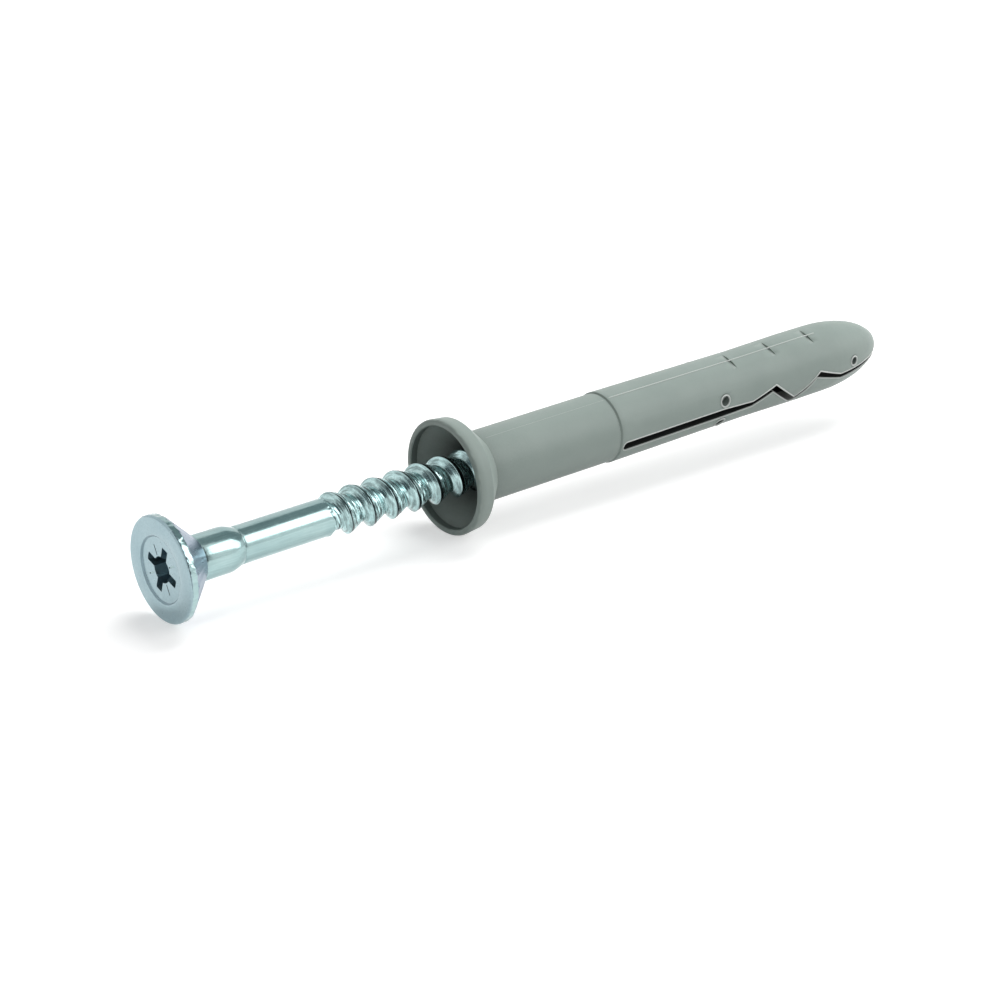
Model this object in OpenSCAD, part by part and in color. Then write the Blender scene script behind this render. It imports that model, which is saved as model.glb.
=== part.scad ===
// Hammer fixing plug: a grey nylon expansion sleeve with a zinc-plated drive screw started in it.
// Millimetres, +Z up. The plug lies on its side as it comes to rest, on the rims of the screw head
// and the collar, with its axis along +X towards the nose and z = 0 on the floor.
// Lengths along the axis are counted from the front of the collar, towards the nose.

/* [Collar] */
// outer diameter of the collar at its front
collar_diameter = 12.76; // [12.4:0.02:13.4]
// length of the collar's rim band
collar_rim_length = 2.2; // [1.8:0.1:2.8]
// how much smaller in radius the rim band is at its back
collar_rim_taper = 0.16; // [0.05:0.01:0.3]
// wall of the rim round the dish
collar_rim_wall = 0.66; // [0.6:0.02:0.9]
// radius on the back edge of the rim band
collar_back_round = 0.4; // [0.2:0.05:0.6]
// straight depth of the dish before its cone
dish_lip_depth = 0.9; // [0.9:0.05:1.2]
// chamfer on the inner edge of the dish
dish_edge = 0.12; // [0.05:0.01:0.2]

/* [Neck] */
// diameter of the plain neck, which stands in the drilled hole
neck_diameter = 7.8; // [7.4:0.1:8]
// distance from the collar's front to the ring step
neck_end = 21.7; // [19:0.1:23]
// width of the fine groove before the ring step
ring_groove_width = 0.18; // [0.1:0.02:0.3]
// depth of that groove
ring_groove_depth = 0.1; // [0.05:0.01:0.15]

/* [Expansion part] */
// diameter just past the ring step
body_start_diameter = 8.06; // [8.02:0.01:8.2]
// diameter at the waist
body_waist_diameter = 7.74; // [7.4:0.02:8]
// diameter at the shoulder of the nose
body_end_diameter = 7.94; // [7.6:0.02:8.1]
// where the waist is
body_waist_at = 42; // [40:0.5:43]
// where the nose starts to round off
nose_start = 54.6; // [54:0.1:55.5]
// length of the sleeve
sleeve_length = 63.3; // [62.5:0.1:64]
// radius of the blunt end
nose_end_radius = 1.8; // [1.5:0.05:2.1]
// edge radius on the blunt end
nose_end_round = 0.3; // [0.2:0.05:0.4]

/* [Slot] */
// where the slot starts
slot_start = 21.95; // [21.9:0.05:23]
// width of the straight run
slot_width = 1.06; // [0.8:0.02:1.2]
// where the straight run ends
slot_straight_end = 41.6; // [40.5:0.1:42]
// distance along the axis from each turn of the zigzag to the next
tooth_step = 3.5; // [3.3:0.05:3.6]
// height of the first peak over the middle plane
tooth_peak = 1.4; // [1:0.05:1.6]
// depth of the valley under the middle plane
tooth_valley = 1.2; // [0.8:0.05:1.4]
// how far the lower jaw's zigzag lies back along the axis
tooth_gap_back = 0.5; // [0.3:0.05:0.6]
// how far the lower jaw's zigzag lies below the upper one
tooth_gap_down = 0.7; // [0.4:0.02:0.8]
// width of the slot at the end of the nose
slot_end_width = 0.45; // [0.3:0.05:0.6]

/* [Moulded marks] */
// diameter of the blind holes either side of the straight run
mark_hole_diameter = 1.25; // [0.8:0.05:1.3]
// their distance from the middle plane
mark_hole_offset = 1.49; // [1.3:0.05:1.6]
// where they are along the axis
mark_hole_at = 37.15; // [34:0.05:39]
// diameter of the small blind hole near the nose
nose_hole_diameter = 1; // [0.6:0.05:1.1]
// its distance from the middle plane
nose_hole_offset = 1.1; // [1:0.05:1.3]
// where it is along the axis
nose_hole_at = 57.8; // [57:0.1:58.5]
// depth of the blind holes
mark_hole_depth = 0.7; // [0.4:0.05:0.8]
// where the first grip groove is
grip_first = 40; // [38:0.1:41]
// spacing of the grip grooves
grip_spacing = 6.05; // [5.5:0.05:6.2]
// number of grip grooves on each side
grip_count = 3; // [1:1:3]
// width of a grip groove
grip_width = 0.5; // [0.3:0.05:0.7]
// depth of a grip groove
grip_depth = 0.22; // [0.15:0.01:0.3]

/* [Drive screw] */
// length of the screw
screw_length = 58; // [56:0.5:59]
// how far the head's face stands in front of the collar
screw_stand_out = 35.3; // [33:0.1:35.5]
// diameter of the head
head_diameter = 11.28; // [11:0.02:11.3]
// straight edge of the head before its cone
head_land = 0.85; // [0.7:0.01:0.85]
// edge radius on the front of the head and of the collar
edge_round = 0.3; // [0.2:0.05:0.4]
// diameter of the thick shank under the head
thick_diameter = 4.82; // [4.5:0.02:4.86]
// where the thick shank ends, from the head's face
thick_end = 7.65; // [6.5:0.05:8]
// length of the step down to the thin shank
shank_step = 1.3; // [0.8:0.1:1.6]
// diameter of the thin shank
thin_diameter = 4.03; // [3.9:0.01:4.2]
// where the thin shank ends, from the head's face
thin_end = 19.7; // [19:0.1:19.8]
// length of the screw's point
point_length = 3.4; // [3:0.1:4]
// radius of the blunt tip
point_radius = 0.3; // [0.2:0.05:0.5]

/* [Thread] */
// outer diameter of the thread
thread_diameter = 4.88; // [4.7:0.02:4.96]
// diameter of the core between two turns
core_diameter = 3.34; // [3.2:0.02:3.4]
// distance from one turn to the next
thread_pitch = 2.87; // [2.84:0.01:3]
// flat on the crest
crest_flat = 0.12; // [0.08:0.02:0.14]
// length of the flank that faces the head
flank_run = 0.6; // [0.5:0.02:0.64]
// length of the slope that faces the nose
slope_run = 1.8; // [1.6:0.05:1.9]
// where the thread starts, from the head's face
thread_first = 19.6; // [19.6:0.1:20.5]
// turn of the thread's start about the axis
thread_turn = 180; // [0:1:360]

/* [Driver recess] */
// span over two opposite wings of the cross
wing_span = 5.1; // [4.6:0.05:5.4]
// width of a wing
wing_width = 0.95; // [0.7:0.05:1.2]
// diameter of the round middle of the cross
heart_diameter = 2.8; // [2.2:0.05:3]
// depth of the recess from the head's face
recess_depth = 2.8; // [2:0.1:3]
// depth at which the wings start to run in
wing_depth = 1.4; // [1:0.1:1.6]
// radius of the blunt bottom of the recess
recess_bottom_radius = 0.4; // [0.3:0.05:0.6]
// diameter of the shallow round sinking in the face
face_sink_diameter = 7.3; // [7:0.1:8]
// how much narrower in radius the sinking is at its floor
face_sink_slope = 0.6; // [0.3:0.05:0.7]
// depth of that sinking
face_sink_depth = 0.2; // [0.1:0.05:0.3]
// length of the four fine lines between the wings
tick_length = 1.1; // [0.8:0.05:1.1]
// width of those lines
tick_width = 0.16; // [0.1:0.02:0.24]
// depth of those lines
tick_depth = 0.1; // [0.06:0.02:0.14]
// turn of the cross about the axis
recess_turn = 0; // [-45:1:45]

/* [Fits and pose] */
// radial clearance between the thread and the bore
bore_clearance = 0.1; // [0.08:0.01:0.14]
// turn of the sleeve about its axis as it lies
sleeve_roll = 18.5; // [0:0.5:30]

/* [Hidden] */
$fn = 96;
collar_r = collar_diameter / 2;
neck_r = neck_diameter / 2;
body_start_r = body_start_diameter / 2;
body_waist_r = body_waist_diameter / 2;
body_end_r = body_end_diameter / 2;
draft = 0.02;
mouth_r = collar_r - collar_rim_wall;
thread_r = thread_diameter / 2;
core_r = core_diameter / 2;
thick_r = thick_diameter / 2;
thin_r = thin_diameter / 2;
head_r = head_diameter / 2;
bore_r = thread_r + bore_clearance;
head_z = -screw_stand_out;
tip_z = head_z + screw_length;
driven_tip_z = screw_length;
bore_cone_z = driven_tip_z - point_length + 0.2;
bore_end_z = driven_tip_z + 0.6;
rim_back_r = collar_r - collar_rim_taper - collar_back_round;
rim_back_z = collar_rim_length - collar_back_round;
cone_start_r = rim_back_r + collar_back_round * cos(45);
cone_start_z = rim_back_z + collar_back_round * sin(45);
neck_start = cone_start_z + cone_start_r - neck_r;
rest_tilt = atan((collar_r - head_r) / screw_stand_out);
rest_lift = (collar_r - edge_round) * cos(rest_tilt) - edge_round * sin(rest_tilt) + edge_round;
low_x = (head_z + edge_round) * cos(rest_tilt) - (head_r - edge_round) * sin(rest_tilt) - edge_round;
high_x = sleeve_length * cos(rest_tilt) + (nose_end_radius - nose_end_round) * sin(rest_tilt);
rest_shift = -(low_x + high_x) / 2;
nose_start_r = body_end_r - draft;

// Radius of the expansion part at a length along the axis.
function body_r(z) = lookup(z, [
    [neck_end + 2.2, body_start_r - draft],
    [body_waist_at, body_waist_r],
    [body_waist_at + 8, body_end_r],
    [nose_start, nose_start_r]
]);

// Points on an arc, from angle a to angle b, for a profile of [radius, length].
function arc(r, z, size, a, b, steps) =
    [for (i = [0:steps]) [r + size * cos(a + (b - a) * i / steps), z + size * sin(a + (b - a) * i / steps)]];

// The nose's outline is a quarter of an ellipse, cut off at the blunt end.
nose_span = (sleeve_length - nose_end_round - nose_start)
    / sqrt(1 - pow(nose_end_radius / nose_start_r, 2));
function nose_point(z) = [nose_start_r * sqrt(1 - pow((z - nose_start) / nose_span, 2)), z];
nose_steps = 12;
nose_outline = [for (i = [1:nose_steps])
    nose_point(nose_start + (sleeve_length - nose_end_round - nose_start) * sin(90 * i / nose_steps))];

// Half section of the sleeve's outside.
sleeve_outline = concat(
    [[0, 0]],
    arc(collar_r - edge_round, edge_round, edge_round, -90, 0, 4),
    arc(rim_back_r, rim_back_z, collar_back_round, 0, 45, 3),
    [
        [neck_r, neck_start],
        [neck_r, neck_end - ring_groove_width],
        [neck_r - ring_groove_depth, neck_end - ring_groove_width / 2],
        [neck_r, neck_end],
        [body_start_r, neck_end + 0.08],
        [body_start_r - draft, neck_end + 2.2],
        [body_waist_r, body_waist_at],
        [body_end_r, body_waist_at + 8],
        [nose_start_r, nose_start]
    ],
    nose_outline,
    [
        [nose_end_radius - nose_end_round * 0.35, sleeve_length - nose_end_round * 0.35],
        [nose_end_radius - nose_end_round, sleeve_length],
        [0, sleeve_length]
    ]
);

// Half section of the dish and the bore.
bore_outline = [
    [0, -1],
    [mouth_r + dish_edge, -1],
    [mouth_r + dish_edge, 0],
    [mouth_r, dish_edge],
    [mouth_r, dish_lip_depth],
    [bore_r, dish_lip_depth + mouth_r - bore_r],
    [bore_r, bore_cone_z],
    [0.8, bore_end_z],
    [0, bore_end_z]
];

// The two edges of the slot, as [length, height over the middle plane].
slot_half = slot_width / 2;
turn_first = slot_straight_end + tooth_step;
upper_edge = [
    [slot_start + slot_half, slot_half],
    [mark_hole_at, slot_half],
    [slot_straight_end, slot_half * 0.5],
    [turn_first, tooth_peak],
    [turn_first + tooth_step, -tooth_valley],
    [turn_first + 2 * tooth_step, tooth_peak - 0.08],
    [turn_first + 3 * tooth_step, 0.12],
    [sleeve_length + 1, slot_end_width / 2]
];
lower_edge = [
    [sleeve_length + 1, -slot_end_width / 2],
    [turn_first + 3 * tooth_step + 0.3, 0.12 - tooth_gap_down],
    [turn_first + 2 * tooth_step - tooth_gap_back, tooth_peak - tooth_gap_down],
    [turn_first + tooth_step - tooth_gap_back + 0.6, -tooth_valley - tooth_gap_down],
    [turn_first + tooth_step - tooth_gap_back, -tooth_valley - tooth_gap_down],
    [turn_first - tooth_gap_back, tooth_peak - tooth_gap_down],
    [slot_straight_end, -slot_half * 0.8],
    [mark_hole_at, -slot_half],
    [slot_start + slot_half, -slot_half]
];

// Lays an axial piece down: its axis along +X, tipped by the rest angle, its lowest rims on the floor.
module lay_down() {
    translate([rest_shift, 0, rest_lift])
        rotate([0, -rest_tilt, 0])
            rotate([sleeve_roll, 0, 0])
                rotate([0, 90, 0])
                    rotate([0, 0, 180])
                        children();
}

// Turns a drawing of [length, height] so that it runs along the axis and goes through from side to side.
module across() {
    multmatrix([[0, 1, 0, 0], [0, 0, 1, 0], [1, 0, 0, 0], [0, 0, 0, 1]])
        linear_extrude(height = 2 * collar_diameter, center = true)
            children();
}

module slot() {
    across() {
        polygon(concat(upper_edge, lower_edge));
        translate([slot_start + slot_half, 0])
            circle(r = slot_half);
    }
}

// A blind hole from one side, at a length and height, down from the surface of a given radius.
module blind_hole(at, height, size, surface_r, side) {
    floor_y = sqrt(surface_r * surface_r - height * height) - mark_hole_depth;
    translate([height, side * floor_y, at])
        rotate([-90 * side, 0, 0])
            cylinder(d = size, h = 3);
}

module moulded_marks() {
    for (side = [-1, 1]) {
        for (height = [-1, 1])
            blind_hole(mark_hole_at, height * mark_hole_offset, mark_hole_diameter, body_r(mark_hole_at), side);
        blind_hole(nose_hole_at, nose_hole_offset, nose_hole_diameter, nose_point(nose_hole_at)[0], side);
    }
    for (top = [-1, 1], i = [0:grip_count - 1])
        let (at = grip_first + i * grip_spacing)
            translate([top * (body_r(at) - grip_depth + 1), 0, at])
                cube([2, 2 * neck_diameter, grip_width], center = true);
}

module sleeve() {
    color([0.56, 0.6, 0.57])
        lay_down()
            difference() {
                rotate_extrude()
                    polygon(sleeve_outline);
                rotate_extrude()
                    polygon(bore_outline);
                slot();
                moulded_marks();
            }
}

// Half section of the screw without its thread.
screw_outline = concat(
    [[0, head_z]],
    arc(head_r - edge_round, head_z + edge_round, edge_round, -90, 0, 4),
    [
        [head_r, head_z + head_land],
        [thick_r, head_z + head_land + head_r - thick_r],
        [thick_r, head_z + thick_end],
        [thin_r, head_z + thick_end + shank_step],
        [thin_r, head_z + thin_end],
        [core_r, head_z + thin_end + 0.3],
        [core_r, tip_z - point_length],
        [point_radius, tip_z],
        [0, tip_z]
    ]
);

// The thread is one ridge wound round the core: a steep flank up to the crest and a long slope down to
// the core. Its section runs out at both ends.
turn_steps = 24;
ridge_foot = core_r - 0.05;
ridge_last = tip_z - point_length - slope_run - 0.4;
ridge_count = floor((ridge_last - head_z - thread_first) / thread_pitch * turn_steps);
ridge_profile = [
    [0, -crest_flat / 2 - flank_run],
    [thread_r - ridge_foot, -crest_flat / 2],
    [thread_r - ridge_foot, crest_flat / 2],
    [0, crest_flat / 2 + slope_run]
];
ridge_corners = len(ridge_profile);
function ridge_share(i) = max(0.12, min(1, i / 10, (ridge_count - i) / 20));
function ridge_place(i, point) = [
    (ridge_foot + point[0]) * cos(thread_turn + 360 * i / turn_steps),
    (ridge_foot + point[0]) * sin(thread_turn + 360 * i / turn_steps),
    head_z + thread_first + thread_pitch * i / turn_steps + point[1]
];
ridge_points = [for (i = [0:ridge_count], point = ridge_profile) ridge_place(i, point * ridge_share(i))];
ridge_sides = [for (i = [0:ridge_count - 1], k = [0:ridge_corners - 1])
    let (a = ridge_corners * i + k, b = ridge_corners * i + (k + 1) % ridge_corners)
    each [[a, b, b + ridge_corners], [a, b + ridge_corners, a + ridge_corners]]];
ridge_end = ridge_corners * ridge_count;
ridge_caps = [for (k = [1:ridge_corners - 2])
    each [[k + 1, k, 0], [ridge_end, ridge_end + k, ridge_end + k + 1]]];

module thread_ridge() {
    polyhedron(points = ridge_points, faces = concat(ridge_sides, ridge_caps));
}

// The cross and its round middle, straight down, inside the form of a driver's tip.
wing_r = wing_span / 2;
heart_r = heart_diameter / 2;
tip_form = [
    [0, head_z - 1],
    [wing_r, head_z - 1],
    [wing_r, head_z + face_sink_depth],
    [wing_r * 0.88, head_z + wing_depth],
    [recess_bottom_radius, head_z + recess_depth],
    [0, head_z + recess_depth]
];

module cross_recess() {
    intersection() {
        translate([0, 0, head_z - 2])
            rotate([0, 0, recess_turn])
                linear_extrude(height = recess_depth + 3) {
                    circle(r = heart_r);
                    square([2 * wing_span, wing_width], center = true);
                    square([wing_width, 2 * wing_span], center = true);
                }
        rotate_extrude()
            polygon(tip_form);
    }
}

// The sinking's wall is a cone, so it is drawn a little beyond the face.
sink_grow = face_sink_slope / face_sink_depth;

module face_marks() {
    translate([0, 0, head_z - 0.1])
        cylinder(
            r1 = face_sink_diameter / 2 + 0.1 * sink_grow,
            r2 = face_sink_diameter / 2 - face_sink_slope,
            h = face_sink_depth + 0.1
        );
    for (i = [0:3])
        rotate([0, 0, recess_turn + 45 + 90 * i])
            translate([heart_r + 0.15, -tick_width / 2, head_z - 0.5])
                cube([tick_length, tick_width, 0.5 + face_sink_depth + tick_depth]);
}

module screw() {
    color([0.74, 0.79, 0.8])
        lay_down()
            difference() {
                union() {
                    rotate_extrude()
                        polygon(screw_outline);
                    thread_ridge();
                }
                cross_recess();
                face_marks();
            }
}

sleeve();
screw();
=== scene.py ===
import bpy
import math
from mathutils import Matrix, Vector, noise


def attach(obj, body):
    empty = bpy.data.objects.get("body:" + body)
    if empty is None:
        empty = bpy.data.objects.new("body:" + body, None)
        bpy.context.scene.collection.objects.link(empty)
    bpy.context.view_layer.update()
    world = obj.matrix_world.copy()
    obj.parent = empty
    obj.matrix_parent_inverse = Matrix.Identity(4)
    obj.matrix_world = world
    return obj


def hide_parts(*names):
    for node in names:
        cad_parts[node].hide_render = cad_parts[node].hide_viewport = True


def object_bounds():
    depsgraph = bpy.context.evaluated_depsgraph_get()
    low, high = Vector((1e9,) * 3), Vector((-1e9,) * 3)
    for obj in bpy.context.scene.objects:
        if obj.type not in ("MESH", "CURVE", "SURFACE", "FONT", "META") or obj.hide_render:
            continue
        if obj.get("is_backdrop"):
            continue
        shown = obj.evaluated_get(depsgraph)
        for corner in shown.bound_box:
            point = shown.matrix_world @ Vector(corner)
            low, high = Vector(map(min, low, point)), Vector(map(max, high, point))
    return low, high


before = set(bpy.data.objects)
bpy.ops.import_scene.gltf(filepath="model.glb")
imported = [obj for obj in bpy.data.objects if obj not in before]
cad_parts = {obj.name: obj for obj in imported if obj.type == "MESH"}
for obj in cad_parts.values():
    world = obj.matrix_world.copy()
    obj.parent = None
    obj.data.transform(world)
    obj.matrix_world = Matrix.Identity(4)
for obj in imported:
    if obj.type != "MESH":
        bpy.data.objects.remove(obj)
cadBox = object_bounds()
print("frame loaded:", sorted(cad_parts))

# sizes in millimetres along the plug's own axis, counted from the collar's front
plugAxis = {
    "collarRadius": 6.38, "headRadius": 5.64, "standOut": 35.3, "edgeRound": 0.3,
    "sleeveLength": 63.3, "noseEndRadius": 1.8, "noseEndRound": 0.3, "sleeveRoll": 18.5,
}


def restPlace():
    plug = plugAxis
    tilt = math.atan((plug["collarRadius"] - plug["headRadius"]) / plug["standOut"])
    cosT, sinT = math.cos(tilt), math.sin(tilt)
    edge = plug["edgeRound"]
    lift = (plug["collarRadius"] - edge) * cosT - edge * sinT + edge
    low = (edge - plug["standOut"]) * cosT - (plug["headRadius"] - edge) * sinT - edge
    high = plug["sleeveLength"] * cosT + (plug["noseEndRadius"] - plug["noseEndRound"]) * sinT
    return tilt, -(low + high) / 2, lift


restTilt, restShift, restLift = restPlace()
millimetre = 0.001
axisToFloor = (Matrix.Scale(millimetre, 4) @ Matrix.Translation((restShift, 0, restLift))
               @ Matrix.Rotation(-restTilt, 4, "Y"))  # the plug's axis lies along +X, nose a little up
axisToRolled = axisToFloor @ Matrix.Rotation(math.radians(plugAxis["sleeveRoll"]), 4, "X")
latheToAxis = Matrix.Rotation(math.radians(90), 4, "Y") @ Matrix.Rotation(math.radians(180), 4, "Z")

# how meshes are cleaned: weld distances in each mesh's own unit, degrees that count as flat, normals' weight
meshFit = {
    "weld": 0.0005, "cadWeld": 2e-6, "tubeWeld": 1e-5, "onAxis": 1e-6, "flatAngle": 0.4, "normalWeight": 80,
}


def clearSelection():
    if bpy.context.object and bpy.context.object.mode != "OBJECT":
        bpy.ops.object.mode_set(mode="OBJECT")
    bpy.ops.object.select_all(action="DESELECT")


def takeUp(piece):
    clearSelection()
    piece.select_set(True)
    bpy.context.view_layer.objects.active = piece


def applyModifier(piece, name):
    takeUp(piece)
    bpy.ops.object.modifier_apply(modifier=name)


def newPiece(name, points, edges):
    mesh = bpy.data.meshes.new(name)
    mesh.from_pydata(points, edges, [])
    piece = bpy.data.objects.new(name, mesh)
    bpy.context.scene.collection.objects.link(piece)
    return piece


def mergeAndTurnOut(piece, threshold):
    takeUp(piece)
    bpy.ops.object.mode_set(mode="EDIT")
    bpy.ops.mesh.select_all(action="SELECT")
    bpy.ops.mesh.remove_doubles(threshold=threshold)
    bpy.ops.mesh.normals_make_consistent(inside=False)
    bpy.ops.object.mode_set(mode="OBJECT")


def cadCopy(node, name):
    piece = bpy.data.objects.new(name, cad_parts[node].data.copy())
    bpy.context.scene.collection.objects.link(piece)
    piece.data.materials.clear()
    takeUp(piece)
    bpy.ops.object.mode_set(mode="EDIT")
    bpy.ops.mesh.select_all(action="SELECT")
    bpy.ops.mesh.remove_doubles(threshold=meshFit["cadWeld"])
    bpy.ops.object.mode_set(mode="OBJECT")
    return piece


def softenEdges(piece, sharper, width, segments):
    takeUp(piece)
    bpy.ops.object.mode_set(mode="EDIT")
    bpy.ops.mesh.select_all(action="SELECT")
    bpy.ops.mesh.dissolve_limited(angle_limit=math.radians(meshFit["flatAngle"]))
    bpy.ops.mesh.select_all(action="DESELECT")
    bpy.ops.mesh.select_mode(type="EDGE")
    bpy.ops.mesh.edges_select_sharp(sharpness=math.radians(sharper))
    bpy.ops.mesh.bevel(offset=width * millimetre, segments=segments, profile=0.5, clamp_overlap=True,
                       loop_slide=True)
    bpy.ops.object.mode_set(mode="OBJECT")
    # painted highlight on the bevelled edges
    bevelHighlight = [sleeveLook["bevelHighlight"] * face.select for face in piece.data.polygons]  # still selected
    markFaces(piece, "paintedEdgeHighlight", bevelHighlight)


def markFaces(piece, name, values):
    mark = piece.data.attributes.new(name, "FLOAT", "FACE")
    for spot, value in zip(mark.data, values):
        spot.value = value


def smoothByAngle(piece, degrees):
    takeUp(piece)
    bpy.ops.object.shade_smooth_by_angle(angle=math.radians(degrees))
    weigh = piece.modifiers.new("weigh", "WEIGHTED_NORMAL")
    weigh.keep_sharp = True
    weigh.weight = meshFit["normalWeight"]
    applyModifier(piece, "weigh")


def lathe(name, outline, steps):
    piece = newPiece(name, [(r, 0, x) for x, r in outline], [(i, i + 1) for i in range(len(outline) - 1)])
    turn = piece.modifiers.new("turn", "SCREW")
    turn.axis = "Z"
    turn.angle = 2 * math.pi
    turn.steps = steps
    turn.render_steps = steps
    turn.use_merge_vertices = True
    turn.merge_threshold = meshFit["weld"]
    applyModifier(piece, "turn")
    piece.data.transform(latheToAxis)
    mergeAndTurnOut(piece, meshFit["weld"])
    return piece


def combine(piece, tool, operation):
    cut = piece.modifiers.new("cut", "BOOLEAN")
    cut.operation = operation
    cut.solver = "MANIFOLD"
    cut.object = tool
    applyModifier(piece, "cut")
    bpy.data.objects.remove(tool)


def box(name, size, middle, turn):
    clearSelection()
    bpy.ops.mesh.primitive_cube_add(size=1)
    piece = bpy.context.object
    piece.name = name
    stand = Matrix.Rotation(turn, 4, "X") @ Matrix.Translation(middle)
    piece.data.transform(stand @ Matrix.Diagonal((*size, 1)))
    return piece


def tube(name, points, radius):
    curve = bpy.data.curves.new(name, "CURVE")
    curve.dimensions = "3D"
    curve.bevel_depth = radius
    curve.bevel_resolution = 2
    curve.use_fill_caps = True
    line = curve.splines.new("POLY")
    line.points.add(len(points) - 1)
    for spot, point in zip(line.points, points):
        spot.co = (*point, 1)
    piece = bpy.data.objects.new(name, curve)
    bpy.context.scene.collection.objects.link(piece)
    takeUp(piece)
    bpy.ops.object.convert(target="MESH")
    piece = bpy.context.object
    mergeAndTurnOut(piece, meshFit["tubeWeld"])
    return piece


def joinInto(piece, others):
    takeUp(piece)
    for other in others:
        other.select_set(True)
    bpy.ops.object.join()


# expansion sleeve: the moulded solid with its parting seams, the lips of its blind holes and its slot's
# edges, these and the bevelled edges with a painted highlight
sleeveLook = {
    "edgeAngle": 28, "edgeWidth": 0.1, "edgeSegments": 2, "bevelHighlight": 0.4, "smoothAngle": 35,
    "radii": ((4.3, 3.9), (21.7, 3.9), (21.8, 4.03), (23.9, 4.01), (42.0, 3.87), (50.0, 3.97), (54.6, 3.95)),
    "noseFrom": 54.6, "noseRadius": 3.95, "noseSpan": 9.436, "slopeStep": 0.1,
    "seamFrom": 21.9, "seamTo": 53.6, "seamRadius": 0.09, "seamProud": 0.04, "seamEndSink": 0.06,
    "seamWander": 0.02, "wanderScale": 0.3, "neckFrom": 4.6, "neckProud": 0.012, "neckShort": 0.3,
    "holes": ((37.15, 1.49, 0.625), (37.15, -1.49, 0.625), (57.8, 1.1, 0.5)),  # along, up, radius
    "holeFloor": 2.8, "holeSkin": 0.03, "holeAlong": 0.05, "holeUp": 0.1, "holeQuiet": 0.5,
    "lipRadius": 0.1, "lipOutside": 0.05, "lipSink": 0.03,
    "slotUpper": ((22.48, 0.53), (37.15, 0.53), (41.6, 0.265), (45.1, 1.4), (48.6, -1.2), (52.1, 1.32),
                  (55.6, 0.12), (62.8, 0.207)),
    "slotLower": ((22.48, -0.53), (37.15, -0.53), (41.6, -0.424), (44.6, 0.7), (48.1, -1.9), (48.7, -1.9),
                  (51.6, 0.7), (55.9, -0.58), (62.8, -0.288)),
    "slotEnd": 62.8, "slotEdgeRadius": 0.1, "slotEdgeSink": 0.055, "slotEdgeInward": 0.0385, "pointStep": 0.3,
    "gripGrooves": (40.0, 46.05, 52.1), "grooveFrom": 2.4, "grooveHalf": 0.6, "grooveSkin": 0.05,
    "groovePaintedLight": 0.15, "ringAt": 21.65, "ringHalf": 0.3,
    "pale": {"partingSeam": 0.55, "neckSeam": 0.25, "holeLip": 0.7, "upperEdge": 0.9, "lowerEdge": 0.45},
}


def sleeveRadius(x):
    table = sleeveLook["radii"]
    for (x0, r0), (x1, r1) in zip(table, table[1:]):
        if x <= x1:
            return r0 + (r1 - r0) * max(0.0, (x - x0) / (x1 - x0))
    beyond = (x - sleeveLook["noseFrom"]) / sleeveLook["noseSpan"]
    return sleeveLook["noseRadius"] * math.sqrt(1 - beyond * beyond)


def seam(name, side, start, end, proud):
    look = sleeveLook
    count = int((end - start) / look["pointStep"])
    points = []
    for i in range(count + 1):
        x = start + (end - start) * i / count
        sink = look["seamEndSink"] if i in (0, count) else 0.0
        wander = look["seamWander"] * noise.noise(Vector((x * look["wanderScale"], side, 0)))
        points.append((x, wander, side * (sleeveRadius(x) + proud - look["seamRadius"] - sink)))
    piece = tube(name, points, look["seamRadius"])
    piece.data.transform(axisToRolled)
    return piece


def holeLip(name, at, height, radius, side):
    look = sleeveLook
    r, step = sleeveRadius(at), look["slopeStep"]
    across = Vector((0, side * math.sqrt(r * r - height * height), height)).normalized()
    lean = (sleeveRadius(at - step) - sleeveRadius(at + step)) / (2 * step)
    out = (across + Vector((lean, 0, 0))).normalized()  # square to the surface, also on the nose
    clearSelection()
    bpy.ops.mesh.primitive_torus_add(major_radius=radius + look["lipOutside"], minor_radius=look["lipRadius"],
                                     major_segments=40, minor_segments=10)
    piece = bpy.context.object
    piece.name = name
    middle = Vector((at, 0, 0)) + across * (r - look["lipSink"])
    stand = Matrix.Translation(middle) @ out.to_track_quat("Z", "X").to_matrix().to_4x4()
    piece.data.transform(axisToRolled @ stand)
    return piece


def slotEdge(name, corners, side):
    look = sleeveLook
    startX, startH = corners[0]
    path = []
    for degrees in (0, 22.5, 45, 67.5):  # the round start of the slot
        turn = math.radians(degrees)
        path.append((startX - abs(startH) * math.cos(turn), startH * math.sin(turn)))
    for (x0, h0), (x1, h1) in zip(corners, corners[1:]):
        count = max(2, int((x1 - x0) / look["pointStep"]))
        path += [(x0 + (x1 - x0) * i / count, h0 + (h1 - h0) * i / count) for i in range(count)]
    path.append(corners[-1])
    inward = math.copysign(look["slotEdgeInward"], startH)
    points = []
    for x, h in path:
        r = sleeveRadius(x) - look["slotEdgeSink"]
        points.append((x, side * math.sqrt(r * r - h * h), h + inward))
    piece = tube(name, points, look["slotEdgeRadius"])
    piece.data.transform(axisToRolled)
    return piece


def inHole(spot):
    look = sleeveLook
    if not look["holeFloor"] < math.hypot(spot.y, spot.z) < sleeveRadius(spot.x) - look["holeSkin"]:
        return False
    along, up = look["holeAlong"], look["holeUp"]
    return any(abs(spot.x - at) < radius + along and abs(spot.z - height) < radius + up
               for at, height, radius in look["holes"])


def inGroove(spot):
    look = sleeveLook
    nearest = min(abs(spot.x - at) for at in look["gripGrooves"])
    return abs(spot.z) > look["grooveFrom"] and nearest < look["grooveHalf"]


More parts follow.
